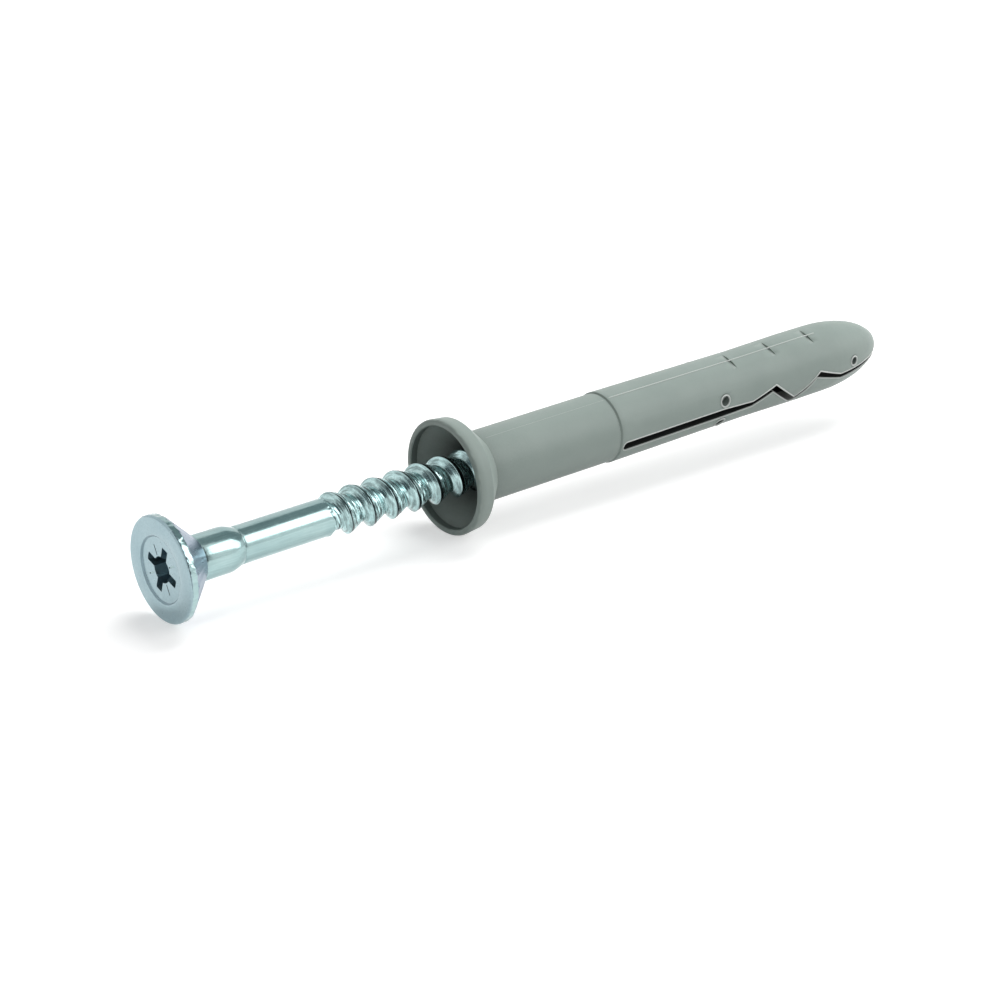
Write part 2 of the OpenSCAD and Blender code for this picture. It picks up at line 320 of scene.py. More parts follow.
def quietHollows(piece):  # shallow hollows are kept lighter than the slot: the painted hollow shade is lifted there, and groove floors get a little painted light
    look = sleeveLook
    toAxis = axisToRolled.inverted()
    mark = piece.data.attributes["paintedEdgeHighlight"].data
    quiet = [0.0] * len(mark)
    for face in piece.data.polygons:
        spot = toAxis @ face.center
        if spot.x > look["slotEnd"]:
            mark[face.index].value = 0.0  # no painted highlight on the jaws' blunt ends
        elif inGroove(spot):
            inside = math.hypot(spot.y, spot.z) < sleeveRadius(spot.x) - look["grooveSkin"]
            mark[face.index].value = look["groovePaintedLight"] if inside else 0.0
            quiet[face.index] = 1.0
        elif abs(spot.x - look["ringAt"]) < look["ringHalf"]:
            quiet[face.index] = 1.0
        elif inHole(spot):
            quiet[face.index] = look["holeQuiet"]
    markFaces(piece, "quiet", quiet)


def sleevePiece():
    look = sleeveLook
    piece = cadCopy("sleeve", "sleeveMoulding")
    softenEdges(piece, look["edgeAngle"], look["edgeWidth"], look["edgeSegments"])
    quietHollows(piece)
    neckTo = look["seamFrom"] - look["neckShort"]
    extras = []
    for side in (1, -1):
        extras.append(slotEdge("upperEdge", look["slotUpper"], side))
        extras.append(slotEdge("lowerEdge", look["slotLower"], side))
        extras.append(seam("partingSeam", side, look["seamFrom"], look["seamTo"], look["seamProud"]))
        extras.append(seam("neckSeam", side, look["neckFrom"], neckTo, look["neckProud"]))
        for at, height, radius in look["holes"]:
            extras.append(holeLip("holeLip", at, height, radius, side))
    # painted highlight on the seams, the hole lips and the slot's edges
    for extra in extras:
        markFaces(extra, "paintedEdgeHighlight", [look["pale"][extra.name.split(".")[0]]] * len(extra.data.polygons))
    joinInto(piece, extras)
    smoothByAngle(piece, look["smoothAngle"])
    return piece


sleeveSkin = sleevePiece()
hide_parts("sleeve")
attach(sleeveSkin, "sleeve")
print("sleeve done:", len(sleeveSkin.data.polygons), "faces")

# drive screw, head and shank: one turned outline, then the cross recess is cut in
shankLook = {
    "face": -35.3, "headRadius": 5.64, "edgeRound": 0.32, "land": 0.85, "thickRadius": 2.41,
    "thickEnd": -27.65, "stepEnd": -26.35, "thinRadius": 2.015, "thinEnd": -15.45, "core": 1.67, "steps": 144,
    "floorRing": 1.5, "faceRing": 4.6, "shankRing": -22.0,
    "sinkRadius": 3.65, "sinkFloor": 3.4, "sinkDepth": 0.24,
    "sinkFoot": ((0.0, -0.1), (-0.02, 0.03)), "sinkRim": ((0.03, -0.05), (0.0, 0.05)),  # steps along and out
    "landFoot": ((-0.06, 0.0), (0.02, -0.03), (0.1, -0.1)),
    "neckNick": ((-0.03, 0.03), (0.0, -0.045), (0.09, -0.03), (0.16, 0.0)),
    "thickEase": ((-0.3, 0.0), (0.1, -0.03)),
    "stepNick": ((-0.1, 0.035), (0.0, -0.035), (0.07, -0.03), (0.14, 0.012), (0.4, 0.0)),
    "endBead": ((-0.75, 0.0), (-0.5, -0.008), (-0.34, 0.02), (-0.2, 0.025)), "beadHeight": 0.025,
    "endRound": 0.2, "endFoot": ((0.04, -0.02), (0.2, -0.25)), "endCap": 0.2,
    "wingRadius": 2.55, "wingWidth": 0.95, "wingStraight": 0.2, "wingDepth": 1.4, "wingTaper": 0.88,
    "recessDepth": 2.8, "bottomRadius": 0.4, "tipSteps": 64, "toolOut": 1.0, "wingBox": (6.0, 8.0),
    "boxSpare": 0.2, "heartRadius": 1.4, "heartBefore": 2.5, "heartAfter": 3.2, "heartSteps": 48,
    "ticks": 4, "tickFrom": 1.55, "tickLength": 1.1, "tickWidth": 0.13, "tickDepth": 0.06, "tickBox": 0.8,
    "upsetBack": 0.15, "upsetReach": 0.45, "upsetInner": 1.2, "upsetOut": 0.1, "upsetAlong": 0.3,
    "upsetNoise": ((3.1, 2.3), (9.7, 1.9)),  # layer and grain, outwards and along
    "dentFrom": 0.2, "dentRim": 0.3, "dentIn": 0.17, "dentAlong": 0.16,
    "dentStretch": 1.5, "dentShift": 6, "dentGrain": (2.1, 2.0),
    "edgeSteps": 8, "bendSteps": 6, "easeWidth": 0.045, "easeAngle": 38, "smoothAngle": 34,
}


def corner(x, r, steps):
    return [(x + along, r + out) for along, out in steps]


def shankOutline():
    look = shankLook
    face, edge, head = look["face"], look["edgeRound"], look["headRadius"]
    thick, thin = look["thickRadius"], look["thinRadius"]
    floor, landEnd = face + look["sinkDepth"], face + look["land"]
    points = [(floor, 0), (floor, look["floorRing"])]
    points += corner(floor, look["sinkFloor"], look["sinkFoot"])
    points += corner(face, look["sinkRadius"], look["sinkRim"])
    points.append((face, look["faceRing"]))
    for i in range(look["edgeSteps"] + 1):
        turn = math.radians(90 * i / look["edgeSteps"])
        points.append((face + edge - edge * math.cos(turn), head - edge + edge * math.sin(turn)))
    points += corner(landEnd, head, look["landFoot"])
    points += corner(landEnd + head - thick, thick, look["neckNick"])
    points += corner(look["thickEnd"], thick, look["thickEase"])
    points += corner(look["stepEnd"], thin, look["stepNick"])
    points.append((look["shankRing"], thin))
    points += corner(look["thinEnd"], thin, look["endBead"])
    bend = look["endRound"]
    bendX, bendR = look["thinEnd"] - bend, thin + look["beadHeight"] - bend
    for i in range(1, look["bendSteps"] + 1):
        turn = math.radians(90 * i / look["bendSteps"])
        points.append((bendX + bend * math.sin(turn), bendR + bend * math.cos(turn)))
    points += corner(look["thinEnd"], look["core"], look["endFoot"])
    points.append((look["thinEnd"] + look["endCap"], 0))
    return points


def recessTool():
    look = shankLook
    face, out, bottom = look["face"], look["face"] - look["toolOut"], look["face"] + look["recessDepth"]
    wing = look["wingRadius"]
    outline = [(out, 0), (out, wing), (face + look["wingStraight"], wing),
               (face + look["wingDepth"], wing * look["wingTaper"]),
               (bottom, look["bottomRadius"]), (bottom, 0)]
    tip = lathe("recessTip", outline, look["tipSteps"])
    length, height = look["wingBox"]
    spare = look["boxSpare"]  # keeps the faces of the two boxes apart
    cross = box("wingAcross", (length, look["wingWidth"], height), (face, 0, 0), 0)
    other = box("wingUp", (length - spare, look["wingWidth"], height + spare), (face, 0, 0), math.pi / 2)
    combine(cross, other, "UNION")
    before, after = face - look["heartBefore"], face + look["heartAfter"]
    heart = [(before, 0), (before, look["heartRadius"]), (after, look["heartRadius"]), (after, 0)]
    combine(cross, lathe("recessHeart", heart, look["heartSteps"]), "UNION")
    combine(tip, cross, "INTERSECT")
    return tip


def cutTicks(piece):
    look = shankLook
    deep = look["face"] + look["sinkDepth"] + look["tickDepth"] - look["tickBox"] / 2
    for i in range(look["ticks"]):
        turn = math.radians(45 + 360 * i / look["ticks"])
        tick = box("tick", (look["tickBox"], look["tickWidth"], look["tickLength"]),
                   (deep, 0, look["tickFrom"] + look["tickLength"] / 2), turn)
        combine(piece, tick, "DIFFERENCE")


def rough(spot, layer, grain):
    return noise.noise(Vector((spot.y, spot.z, layer)) * grain)


def beatEdges(piece):
    look = shankLook
    landFrom, landTo = look["face"] + look["dentFrom"], look["face"] + look["land"] + look["dentFrom"]
    (outLayer, outGrain), (alongLayer, alongGrain) = look["upsetNoise"]
    dentGrain, pushGrain = look["dentGrain"]
    for v in piece.data.vertices:
        x, r = v.co.x, math.hypot(v.co.y, v.co.z)
        grow, push = 1.0, 0.0
        near = max(0.0, 1 - abs(x - look["thinEnd"] + look["upsetBack"]) / look["upsetReach"])
        if near > 0 and r > look["upsetInner"]:  # the shank's end is upset where the thread was rolled
            grow = 1 + near * look["upsetOut"] * rough(v.co, outLayer, outGrain) / r
            push = near * look["upsetAlong"] * rough(v.co, alongLayer, alongGrain)
        if landFrom < x < landTo and r > look["headRadius"] - look["dentRim"]:  # dents in the land
            grow = 1 - look["dentIn"] * abs(rough(v.co, x * look["dentStretch"], dentGrain)) / r
            push = look["dentAlong"] * rough(v.co, x + look["dentShift"], pushGrain)
        v.co = (x + push, v.co.y * grow, v.co.z * grow)


def shankPiece():
    look = shankLook
    piece = lathe("driveScrew", shankOutline(), look["steps"])
    combine(piece, recessTool(), "DIFFERENCE")
    cutTicks(piece)
    beatEdges(piece)
    ease = piece.modifiers.new("ease", "BEVEL")
    ease.width = look["easeWidth"]
    ease.segments = 2
    ease.limit_method = "ANGLE"
    ease.angle_limit = math.radians(look["easeAngle"])
    ease.use_clamp_overlap = True
    applyModifier(piece, "ease")
    markHead(piece)
    piece.data.transform(axisToRolled)
    return piece


# painted shade in the recess and on the sink wall, and the tints of the head, with depths counted from its
# face
headTone = {
    "recessFrom": 0.12, "slack": 0.1, "hair": 0.05, "coneTo": 4.0, "wallFrom": 0.03, "wallShort": 0.01,
    "lit": 0.6, "sinkWallShade": 0.45, "faceTint": 0.4,
}


def markHead(piece):
    look, tone = shankLook, headTone
    paintedRecessShade, tint = [], []
    for face in piece.data.polygons:
        x, r = face.center.x - look["face"], math.hypot(face.center.y, face.center.z)
        inRecess = (look["sinkDepth"] + tone["recessFrom"] < x < look["recessDepth"] + tone["slack"]
                    and r < look["wingRadius"] + tone["slack"])
        onCone = (look["land"] + tone["hair"] < x < tone["coneTo"]
                  and r > look["thickRadius"] + tone["hair"] and not inRecess)
        onSinkWall = (tone["wallFrom"] < x < look["sinkDepth"] - tone["wallShort"]
                      and look["sinkFloor"] - tone["hair"] < r < look["sinkRadius"] + tone["hair"])
        lit = tone["lit"] * max(0.0, face.normal.z)  # painted light: walls that look up are painted less dark
        paintedRecessShade.append(1.0 - lit if inRecess else tone["sinkWallShade"] if onSinkWall else 0.0)
        tint.append(1.0 if onCone else tone["faceTint"] if x < look["sinkDepth"] + tone["hair"] else 0.0)
    markFaces(piece, "paintedRecessShade", paintedRecessShade)
    markFaces(piece, "tint", tint)


# thread: one pitch of its section, wound up with the Screw modifier
threadLook = {
    "pitch": 2.87, "crest": 2.44, "core": 1.67, "first": -15.7, "turn": 180.0, "stepsPerTurn": 120,
    "crestFlat": 0.12, "crestTop": 0.3, "crestEase": (0.025, 0.015),
    "flank": 0.6, "flankSteps": 11, "flankHollow": 1.15, "flankStreak": 0.01, "flankWave": 3.3,
    "slope": 1.8, "slopeHollow": 1.05, "marks": 28, "streak": 0.02, "streakStep": 0.26, "streakFade": 6,
    "footRolled": 0.4, "flankRolled": 0.45,
    "shadeNarrow": 0.24, "shadeWide": 0.55, "shadeGain": 1.5, "shadeLead": 0.001,
    "wrap": 4 * math.pi, "windingPull": 0.14, "blotch": 0.03, "blotchScale": (3.2, 2.2),
    "fine": 0.035, "fineScale": (7.0, 1.3), "fineLayer": 4,
    "start": -15.9, "backTurns": 2, "spareTurns": 3, "runIn": 1.2, "last": 17.1, "runOut": 2.4,
    "point": 22.7, "pointLength": 3.4, "pointRadius": 0.3,
}


def threadSection():
    look = threadLook
    half, depth = look["crestFlat"] / 2, look["crest"] - look["core"]
    before, after = look["crestEase"]
    points = [(-half - look["flank"], look["core"], look["footRolled"])]  # along, radius, how rolled
    for i in range(1, look["flankSteps"]):  # flank towards the head, a little hollow at its foot
        share = i / look["flankSteps"]
        streak = look["flankStreak"] * math.sin(2 * math.pi * i / look["flankWave"])
        r = look["core"] + depth * share ** look["flankHollow"] + streak
        points.append((-half - look["flank"] * (1 - share), r, look["flankRolled"]))
    points += [(-half, look["crest"] - before, 0.0), (-half * look["crestTop"], look["crest"], 0.0),
               (half, look["crest"] - after, 0.0)]
    for i in range(1, look["marks"] + 1):  # slope towards the nose, streaked by the rolling dies
        share = i / look["marks"]
        fade = min(1.0, look["streakFade"] * share, look["streakFade"] * (1 - share))
        streak = look["streak"] * math.sin(2 * math.pi * look["slope"] * share / look["streakStep"]) * fade
        r = look["crest"] - depth * share ** look["slopeHollow"] + streak
        points.append((half + look["slope"] * share, r, 1.0))
    points.append((look["pitch"] - half - look["flank"], look["core"], look["footRolled"]))
    return points


# painted shadow behind each crest, wider towards the collar
def crestShade(behind, x):
    look = threadLook
    if behind < -look["shadeLead"]:
        return 0.0
    near = min(1.0, max(0.0, (x - look["first"]) / -look["first"]))  # grows towards the collar
    width = look["shadeNarrow"] + (look["shadeWide"] - look["shadeNarrow"]) * near
    return min(1.0, max(0.0, look["shadeGain"] * (1 - behind / width)))


def crestPlace(spot):
    look = threadLook
    turned = (math.atan2(-spot.y, spot.z) - math.radians(look["turn"])) / (2 * math.pi) % 1.0
    foot = look["crestFlat"] / 2 + look["flank"]
    lap = math.floor((spot.x - look["first"] - look["pitch"] * turned + foot) / look["pitch"])
    return look["first"] + look["pitch"] * (lap + turned)  # where the crest of this turn is


def windThread(section):
    look = threadLook
    piece = newPiece("screwThread", [(r, 0, x) for x, r, rolled in section],
                     [(i, i + 1) for i in range(len(section) - 1)])
    mark = piece.data.attributes.new("rolled", "FLOAT", "POINT")
    for spot, (x, r, rolled) in zip(mark.data, section):
        spot.value = rolled
    wind = piece.modifiers.new("wind", "SCREW")
    wind.axis = "Z"
    wind.angle = 2 * math.pi
    wind.screw_offset = look["pitch"]
    turns = int((look["point"] - look["start"]) / look["pitch"])
    wind.iterations = turns + look["spareTurns"] + look["backTurns"]
    wind.steps = look["stepsPerTurn"]
    wind.render_steps = look["stepsPerTurn"]
    wind.use_merge_vertices = True
    wind.merge_threshold = meshFit["weld"]
    applyModifier(piece, "wind")
    begin = Matrix.Translation((0, 0, look["first"] - look["backTurns"] * look["pitch"]))  # cut square later
    piece.data.transform(latheToAxis @ begin @ Matrix.Rotation(math.radians(look["turn"]), 4, "Z"))
    return piece


def cutEnds(piece):
    look = threadLook
    takeUp(piece)
    bpy.ops.object.mode_set(mode="EDIT")
    bpy.ops.mesh.select_all(action="SELECT")
    bpy.ops.mesh.remove_doubles(threshold=meshFit["weld"])
    for cutAt, outer in ((look["start"], False), (look["point"], True)):
        bpy.ops.mesh.select_all(action="SELECT")
        bpy.ops.mesh.bisect(plane_co=(cutAt, 0, 0), plane_no=(1, 0, 0), use_fill=True, clear_outer=outer,
                            clear_inner=not outer)
    bpy.ops.mesh.select_all(action="SELECT")
    bpy.ops.mesh.normals_make_consistent(inside=False)
    bpy.ops.object.mode_set(mode="OBJECT")


def wearThread(piece):
    look = threadLook
    piece.data.attributes.new("shade", "FLOAT", "POINT")
    piece.data.attributes.new("winding", "FLOAT_VECTOR", "POINT")  # across and along the winding
    marked, shade, winding = (piece.data.attributes[name].data for name in ("rolled", "shade", "winding"))
    along, across = look["blotchScale"]
    fineAcross, fineAlong = look["fineScale"]
    for i, v in enumerate(piece.data.vertices):
        x, r = v.co.x, math.hypot(v.co.y, v.co.z)
        if r < meshFit["onAxis"]:
            continue
        crest = crestPlace(v.co)
        wound = look["wrap"] * (crest - look["first"]) / look["pitch"]
        winding[i].vector = (x - crest, wound * look["windingPull"], 0)
        shade[i].value = crestShade(x - crest - look["crestFlat"] / 2, x)
        grown, fading = (crest - look["first"]) / look["runIn"], (look["last"] - crest) / look["runOut"]
        size = look["core"] + (r - look["core"]) * min(1.0, max(0.0, grown), max(0.0, fading))
        blotch = noise.noise(Vector((x * along, v.co.y * across, v.co.z * across)))
        fine = noise.noise(Vector(((x - crest) * fineAcross, wound * fineAlong, look["fineLayer"])))
        size = min(size + marked[i].value * (look["blotch"] * blotch + look["fine"] * fine), look["crest"])
        if x > look["point"] - look["pointLength"]:
            share = (x - look["point"] + look["pointLength"]) / look["pointLength"]
            size *= 1 - share * (1 - look["pointRadius"] / look["core"])
        v.co.y *= size / r
        v.co.z *= size / r


def threadPiece():
    piece = windThread(threadSection())
    cutEnds(piece)
    wearThread(piece)
    piece.data.transform(axisToRolled)
    return piece


screwSkin = shankPiece()
joinInto(screwSkin, [threadPiece()])
smoothByAngle(screwSkin, shankLook["smoothAngle"])
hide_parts("screw")
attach(screwSkin, "screw")
print("screw done:", len(screwSkin.data.polygons), "faces")


# materials
def newMaterial(name):
    material = bpy.data.materials.new(name)
    material.use_nodes = True
    return material, material.node_tree.nodes, material.node_tree.links


def place(nodes, kind, **values):
    node = nodes.new(kind)
    for key, value in values.items():
        if hasattr(node, key):
            setattr(node, key, value)
        else:
            node.inputs[key].default_value = value
    return node


def grainGroup():
    group = bpy.data.node_groups.new("fineGrain", "ShaderNodeTree")
    for name, value in (("Scale", 900.0), ("Low", 0.3), ("High", 0.4)):
        group.interface.new_socket(name, in_out="INPUT", socket_type="NodeSocketFloat").default_value = value
    for name in ("Amount", "Height"):
        group.interface.new_socket(name, in_out="OUTPUT", socket_type="NodeSocketFloat")
    nodes, links = group.nodes, group.links
    source, result = place(nodes, "NodeGroupInput"), place(nodes, "NodeGroupOutput")
    coords = place(nodes, "ShaderNodeTexCoord")
    grain = place(nodes, "ShaderNodeTexNoise", Detail=4.0, Roughness=0.6)
    spread = place(nodes, "ShaderNodeMapRange")
    spread.inputs["From Min"].default_value = 0.3
    spread.inputs["From Max"].default_value = 0.7
    links.new(coords.outputs["Object"], grain.inputs["Vector"])
    links.new(source.outputs["Scale"], grain.inputs["Scale"])
    links.new(grain.outputs["Fac"], spread.inputs["Value"])
    links.new(source.outputs["Low"], spread.inputs["To Min"])
    links.new(source.outputs["High"], spread.inputs["To Max"])
    links.new(spread.outputs["Result"], result.inputs["Amount"])
    links.new(grain.outputs["Fac"], result.inputs["Height"])
    return group


# painted shade: ambient occlusion darkens the base colour in hollows
def cavityGroup():
    group = bpy.data.node_groups.new("cavityShade", "ShaderNodeTree")
    group.interface.new_socket("Color", in_out="INPUT", socket_type="NodeSocketColor")
    for name, value in (("Reach", 0.003), ("Closed", 0.2), ("Open", 0.8), ("Darkest", 0.1)):
        group.interface.new_socket(name, in_out="INPUT", socket_type="NodeSocketFloat").default_value = value
    group.interface.new_socket("Color", in_out="OUTPUT", socket_type="NodeSocketColor")
    nodes, links = group.nodes, group.links
    source, result = place(nodes, "NodeGroupInput"), place(nodes, "NodeGroupOutput")
    hollow = place(nodes, "ShaderNodeAmbientOcclusion", samples=8, only_local=True)
    shade = place(nodes, "ShaderNodeMapRange")
    tone = place(nodes, "ShaderNodeMix", data_type="RGBA", blend_type="MULTIPLY")
    tone.inputs["Factor"].default_value = 1.0
    links.new(source.outputs["Reach"], hollow.inputs["Distance"])
    links.new(hollow.outputs["AO"], shade.inputs["Value"])
    links.new(source.outputs["Closed"], shade.inputs["From Min"])
    links.new(source.outputs["Open"], shade.inputs["From Max"])
    links.new(source.outputs["Darkest"], shade.inputs["To Min"])
    links.new(source.outputs["Color"], tone.inputs["A"])
    links.new(shade.outputs["Result"], tone.inputs["B"])
    links.new(tone.outputs["Result"], result.inputs["Color"])
    return group


fineGrain = grainGroup()
cavityShade = cavityGroup()


def nylonMaterial():
    material, nodes, links = newMaterial("greyNylon")
    skin = nodes["Principled BSDF"]
    skin.inputs["Specular IOR Level"].default_value = 0.35
    coords = place(nodes, "ShaderNodeTexCoord")
    cloud = place(nodes, "ShaderNodeTexNoise", Scale=190.0, Detail=3.0, Roughness=0.5)
    ramp = place(nodes, "ShaderNodeValToRGB")
    ramp.color_ramp.elements[0].position = 0.3
    ramp.color_ramp.elements[0].color = (0.232, 0.281, 0.259, 1)
    ramp.color_ramp.elements[1].position = 0.7
    ramp.color_ramp.elements[1].color = (0.258, 0.308, 0.285, 1)
    grain = place(nodes, "ShaderNodeGroup", node_tree=fineGrain, Scale=2600.0, Low=0.42, High=0.52)
    bump = place(nodes, "ShaderNodeBump", Strength=0.12, Distance=0.00003)
    links.new(coords.outputs["Object"], cloud.inputs["Vector"])
    # painted highlight on edges, seams and lips, mixed in after the painted hollow shade
    edge = place(nodes, "ShaderNodeAttribute", attribute_name="paintedEdgeHighlight")
    pale = place(nodes, "ShaderNodeMix", data_type="RGBA")
    pale.inputs["B"].default_value = (0.62, 0.65, 0.63, 1)
    # painted shade in the collar's dish, the slot and the other hollows
    cavity = place(nodes, "ShaderNodeGroup", node_tree=cavityShade,
                   Reach=0.008, Closed=0.5, Open=1.0, Darkest=0.04)
    # the painted hollow shade is mostly lifted where faces are marked quiet
    groove = place(nodes, "ShaderNodeAttribute", attribute_name="quiet")
    calm = place(nodes, "ShaderNodeMath", operation="MULTIPLY")
    calm.inputs[1].default_value = 0.95
    shallow = place(nodes, "ShaderNodeMix", data_type="RGBA")
    links.new(cloud.outputs["Fac"], ramp.inputs["Fac"])
    links.new(ramp.outputs["Color"], cavity.inputs["Color"])
    links.new(groove.outputs["Fac"], calm.inputs[0])
    links.new(calm.outputs[0], shallow.inputs["Factor"])
    links.new(cavity.outputs["Color"], shallow.inputs["A"])
    links.new(ramp.outputs["Color"], shallow.inputs["B"])
    links.new(shallow.outputs["Result"], pale.inputs["A"])
    links.new(edge.outputs["Fac"], pale.inputs["Factor"])
    links.new(pale.outputs["Result"], skin.inputs["Base Color"])
    links.new(grain.outputs["Amount"], skin.inputs["Roughness"])
    links.new(grain.outputs["Height"], bump.inputs["Height"])
    links.new(bump.outputs["Normal"], skin.inputs["Normal"])
    return material


def zincMaterial():
    material, nodes, links = newMaterial("brightZinc")
    skin = nodes["Principled BSDF"]
    coords = place(nodes, "ShaderNodeTexCoord")
    cloud = place(nodes, "ShaderNodeTexNoise", Scale=320.0, Detail=3.0, Roughness=0.55)
    ramp = place(nodes, "ShaderNodeValToRGB")
    ramp.color_ramp.elements[0].position = 0.32
    ramp.color_ramp.elements[0].color = (0.330, 0.473, 0.477, 1)
    ramp.color_ramp.elements[1].position = 0.68
    ramp.color_ramp.elements[1].color = (0.393, 0.538, 0.536, 1)
    rolled = place(nodes, "ShaderNodeAttribute", attribute_name="rolled")
    streak = place(nodes, "ShaderNodeTexNoise", Scale=4.4, Detail=3.0, Roughness=0.6)
    follow = place(nodes, "ShaderNodeAttribute", attribute_name="winding")
    scars = place(nodes, "ShaderNodeMath", operation="MULTIPLY")
    mottle = place(nodes, "ShaderNodeMapRange")
    for name, value in (("From Min", 0.4), ("From Max", 0.6), ("To Min", 0.22), ("To Max", 1.9)):
        mottle.inputs[name].default_value = value
    worn = place(nodes, "ShaderNodeMix", data_type="RGBA", blend_type="MULTIPLY")
    tint = place(nodes, "ShaderNodeAttribute", attribute_name="tint")
    violet = place(nodes, "ShaderNodeMix", data_type="RGBA")
    violet.inputs["B"].default_value = (0.265, 0.335, 0.42, 1)
    # painted recess shade: recess and sink wall are mixed toward dark navy and made less metallic
    paintedRecessShade = place(nodes, "ShaderNodeAttribute", attribute_name="paintedRecessShade")
    inner = place(nodes, "ShaderNodeMix", data_type="RGBA")
    inner.inputs["B"].default_value = (0.1, 0.175, 0.22, 1)
    metal = place(nodes, "ShaderNodeMapRange")
    metal.inputs["To Min"].default_value = 1.0
    metal.inputs["To Max"].default_value = 0.45
    # painted shadow just behind each crest
    shade = place(nodes, "ShaderNodeAttribute", attribute_name="shade")
    behind = place(nodes, "ShaderNodeMix", data_type="RGBA")
    behind.inputs["B"].default_value = (0.012, 0.02, 0.022, 1)
    stretch = place(nodes, "ShaderNodeMapping", Scale=(160.0, 4200.0, 4200.0))
    drawn = place(nodes, "ShaderNodeTexNoise", Scale=1.0, Detail=2.0, Roughness=0.55)
    dull = place(nodes, "ShaderNodeMapRange")
    for name, value in (("From Min", 0.35), ("From Max", 0.65), ("To Min", 0.7), ("To Max", 1.12)):
        dull.inputs[name].default_value = value
    lines = place(nodes, "ShaderNodeMix", data_type="RGBA", blend_type="MULTIPLY")
    lines.inputs["Factor"].default_value = 0.3
    wavy = place(nodes, "ShaderNodeBump", Strength=0.4, Distance=0.00005)
    grain = place(nodes, "ShaderNodeGroup", node_tree=fineGrain, Scale=1500.0, Low=0.13, High=0.24)
    bump = place(nodes, "ShaderNodeBump", Strength=0.5, Distance=0.00006)
    torn = place(nodes, "ShaderNodeMath", operation="MULTIPLY_ADD")  # rolled slopes are duller
    torn.inputs[1].default_value = 0.1
    matt = place(nodes, "ShaderNodeMath", operation="MULTIPLY_ADD")  # so is the cone under the head
    matt.inputs[1].default_value = 0.12
    links.new(coords.outputs["Object"], cloud.inputs["Vector"])
    links.new(follow.outputs["Vector"], streak.inputs["Vector"])
    # painted shade in the thread's valleys and the head's hollows
    cavity = place(nodes, "ShaderNodeGroup", node_tree=cavityShade,
                   Reach=0.0012, Closed=0.2, Open=0.75, Darkest=0.06)
    links.new(cloud.outputs["Fac"], ramp.inputs["Fac"])
    links.new(coords.outputs["Object"], stretch.inputs["Vector"])
    links.new(stretch.outputs["Vector"], drawn.inputs["Vector"])
    links.new(drawn.outputs["Fac"], dull.inputs["Value"])
    links.new(ramp.outputs["Color"], lines.inputs["A"])
    links.new(dull.outputs["Result"], lines.inputs["B"])
    links.new(streak.outputs["Fac"], mottle.inputs["Value"])
    links.new(lines.outputs["Result"], worn.inputs["A"])
    links.new(mottle.outputs["Result"], worn.inputs["B"])
    links.new(rolled.outputs["Fac"], worn.inputs["Factor"])
    links.new(worn.outputs["Result"], violet.inputs["A"])
    links.new(tint.outputs["Fac"], violet.inputs["Factor"])
    links.new(violet.outputs["Result"], cavity.inputs["Color"])
    links.new(cavity.outputs["Color"], behind.inputs["A"])
    links.new(shade.outputs["Fac"], behind.inputs["Factor"])
    links.new(behind.outputs["Result"], inner.inputs["A"])
    links.new(paintedRecessShade.outputs["Fac"], inner.inputs["Factor"])
    links.new(paintedRecessShade.outputs["Fac"], metal.inputs["Value"])
    links.new(inner.outputs["Result"], skin.inputs["Base Color"])
    links.new(metal.outputs["Result"], skin.inputs["Metallic"])
    links.new(rolled.outputs["Fac"], torn.inputs[0])
    links.new(grain.outputs["Amount"], torn.inputs[2])
    links.new(tint.outputs["Fac"], matt.inputs[0])
    links.new(torn.outputs[0], matt.inputs[2])
    links.new(matt.outputs[0], skin.inputs["Roughness"])
    links.new(cloud.outputs["Fac"], wavy.inputs["Height"])
    links.new(wavy.outputs["Normal"], bump.inputs["Normal"])
    links.new(rolled.outputs["Fac"], scars.inputs[0])
    links.new(streak.outputs["Fac"], scars.inputs[1])
    links.new(scars.outputs[0], bump.inputs["Height"])
    links.new(bump.outputs["Normal"], skin.inputs["Normal"])
    return material


def dress(piece, material):
    piece.data.materials.clear()
    piece.data.materials.append(material)


dress(sleeveSkin, nylonMaterial())
dress(screwSkin, zincMaterial())
print("materials done")

# studio: pale floor, soft lamps, white surroundings and two grey cards that only mirrors see
studio = {
    "floorSize": 6.0, "floorColour": 0.7, "floorDrop": 0.00002, "floorGlow": 0.5,
    "glowFrom": 0.25, "glowTo": 0.9, "surround": 0.13, "aim": (-0.01, 0, 0.006),
    "keyPlace": (0.30, -0.36, 0.36), "keySize": (0.75, 0.42), "keyPower": 2.2,
    "topPlace": (0.32, 0.18, 0.5), "topSize": (0.5, 0.5), "topPower": 4.25,
    "fillPlace": (-0.5, -0.45, 0.3), "fillSize": (0.5, 0.5), "fillPower": 0.95,
    "cards": (((0.26, 0.045, 0.405), (0.75, 0.42), (0.31, 0.37, 0.38)),  # place, size, tone
              ((-0.047, -0.018, 0.017), (0.026, 0.036), (0.12, 0.14, 0.15))),
}


def seenDirectly(nodes, links):
    rays = place(nodes, "ShaderNodeLightPath")
    seen = place(nodes, "ShaderNodeMath", operation="ADD", use_clamp=True)
    seenToo = place(nodes, "ShaderNodeMath", operation="ADD", use_clamp=True)
    links.new(rays.outputs["Is Camera Ray"], seen.inputs[0])
    links.new(rays.outputs["Is Glossy Ray"], seen.inputs[1])
    links.new(seen.outputs[0], seenToo.inputs[0])
    links.new(rays.outputs["Is Transmission Ray"], seenToo.inputs[1])
    return seenToo.outputs[0]


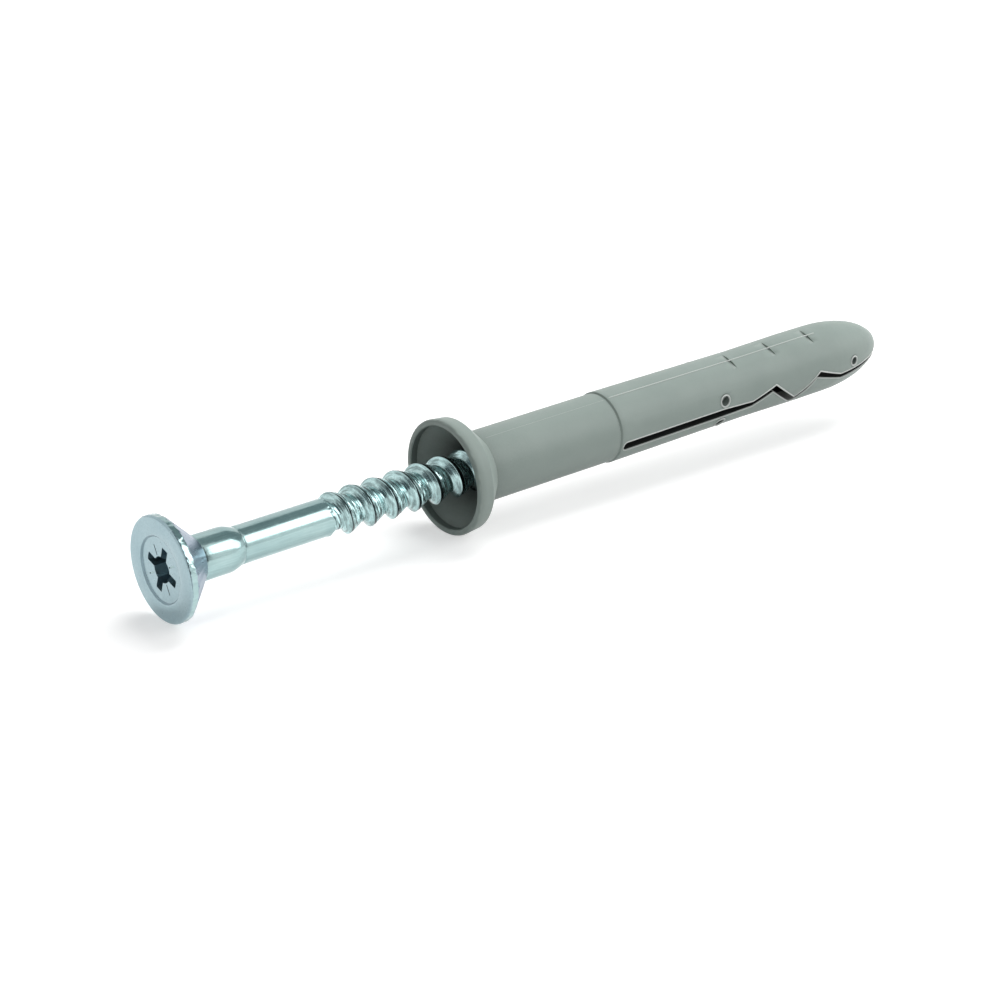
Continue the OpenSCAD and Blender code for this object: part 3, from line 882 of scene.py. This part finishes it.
def floorPiece():
    clearSelection()
    bpy.ops.mesh.primitive_plane_add(size=studio["floorSize"], location=(0, 0, -studio["floorDrop"]))
    floor = bpy.context.object
    floor.name = "paleFloor"
    bpy.ops.object.transform_apply(location=True)
    material, nodes, links = newMaterial("paleFloor")
    nodes.remove(nodes["Principled BSDF"])
    matt = place(nodes, "ShaderNodeBsdfDiffuse", Color=(studio["floorColour"],) * 3 + (1,))
    glow = place(nodes, "ShaderNodeEmission", Color=(1, 1, 1, 1))
    coords = place(nodes, "ShaderNodeTexCoord")
    away = place(nodes, "ShaderNodeVectorMath", operation="LENGTH")
    rise = place(nodes, "ShaderNodeMapRange")
    for name, value in (("From Min", "glowFrom"), ("From Max", "glowTo"), ("To Min", "floorGlow")):
        rise.inputs[name].default_value = studio[value]
    amount = place(nodes, "ShaderNodeMath", operation="MULTIPLY")
    links.new(coords.outputs["Object"], away.inputs[0])
    links.new(away.outputs["Value"], rise.inputs["Value"])
    links.new(rise.outputs["Result"], amount.inputs[1])
    both = place(nodes, "ShaderNodeAddShader")
    links.new(seenDirectly(nodes, links), amount.inputs[0])
    links.new(amount.outputs[0], glow.inputs["Strength"])
    links.new(matt.outputs[0], both.inputs[0])
    links.new(glow.outputs[0], both.inputs[1])
    links.new(both.outputs[0], nodes["Material Output"].inputs["Surface"])
    floor.data.materials.append(material)
    floor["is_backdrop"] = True


def facing(spot):
    back = (Vector(spot) - Vector(studio["aim"])).normalized()
    side = (Vector((1, 0, 0)) - back * back.x).normalized()  # its long side runs with the plug
    turned = Matrix((side, back.cross(side), back)).transposed()
    return Matrix.Translation(spot) @ turned.to_4x4()


def greyCard(spot, size, tint):
    clearSelection()
    bpy.ops.mesh.primitive_plane_add(size=1)
    card = bpy.context.object
    card.name = "greyCard"
    card.data.transform(facing(spot) @ Matrix.Diagonal((*size, 1, 1)))
    material, nodes, links = newMaterial("greyCard")
    nodes.remove(nodes["Principled BSDF"])
    tone = place(nodes, "ShaderNodeEmission", Color=(*tint, 1))
    links.new(tone.outputs[0], nodes["Material Output"].inputs["Surface"])
    card.data.materials.append(material)
    card.visible_camera = False
    card.visible_diffuse = False
    card.visible_shadow = False
    card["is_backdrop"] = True


def softLamp(name, spot, size, power, mirrored):
    data = bpy.data.lights.new(name, "AREA")
    data.shape = "RECTANGLE"
    data.size, data.size_y = size
    data.energy = power
    lamp = bpy.data.objects.new(name, data)
    lamp.matrix_world = facing(spot)
    lamp.visible_glossy = mirrored
    bpy.context.scene.collection.objects.link(lamp)


def surroundings():
    world = bpy.data.worlds.new("studio")
    bpy.context.scene.world = world
    world.use_nodes = True
    nodes, links = world.node_tree.nodes, world.node_tree.links
    level = place(nodes, "ShaderNodeMapRange")
    level.inputs["To Min"].default_value = studio["surround"]
    level.inputs["To Max"].default_value = 1.0
    links.new(seenDirectly(nodes, links), level.inputs["Value"])
    nodes["Background"].inputs["Color"].default_value = (1, 1, 1, 1)
    links.new(level.outputs["Result"], nodes["Background"].inputs["Strength"])


floorPiece()
for spot, size, tint in studio["cards"]:
    greyCard(spot, size, tint)
softLamp("keyLamp", studio["keyPlace"], studio["keySize"], studio["keyPower"], True)
softLamp("topLamp", studio["topPlace"], studio["topSize"], studio["topPower"], False)
softLamp("fillLamp", studio["fillPlace"], studio["fillSize"], studio["fillPower"], False)
surroundings()

# camera, fitted to the photograph
lens = {
    "length": 100.0, "heading": 51.14, "elevation": 22.75,
    "collarAhead": 293.63, "collarRight": -6.0159, "collarDown": -2.2992,
}


def photoCamera():
    heading, elevation = math.radians(lens["heading"]), math.radians(lens["elevation"])
    level = math.cos(elevation)
    ahead = Vector((level * math.cos(heading), level * math.sin(heading), -math.sin(elevation)))
    right = Vector((math.sin(heading), -math.cos(heading), 0))
    up = right.cross(ahead)
    collar = axisToFloor @ Vector((0, 0, 0))
    offset = right * lens["collarRight"] - up * lens["collarDown"] + ahead * lens["collarAhead"]
    data = bpy.data.cameras.new("photoCamera")
    data.lens = lens["length"]
    data.sensor_width = 36.0
    data.clip_start = 0.01
    data.clip_end = 20.0
    camera = bpy.data.objects.new("photoCamera", data)
    camera.location = collar - offset * millimetre
    camera.rotation_euler = ahead.to_track_quat("-Z", "Y").to_euler()
    bpy.context.scene.collection.objects.link(camera)
    bpy.context.scene.camera = camera


photoCamera()
bpy.context.scene.view_settings.view_transform = "Standard"

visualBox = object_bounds()
for name, corners in (("cad box", cadBox), ("visual box", visualBox)):
    print(name, [[round(value / millimetre, 2) for value in point] for point in corners])
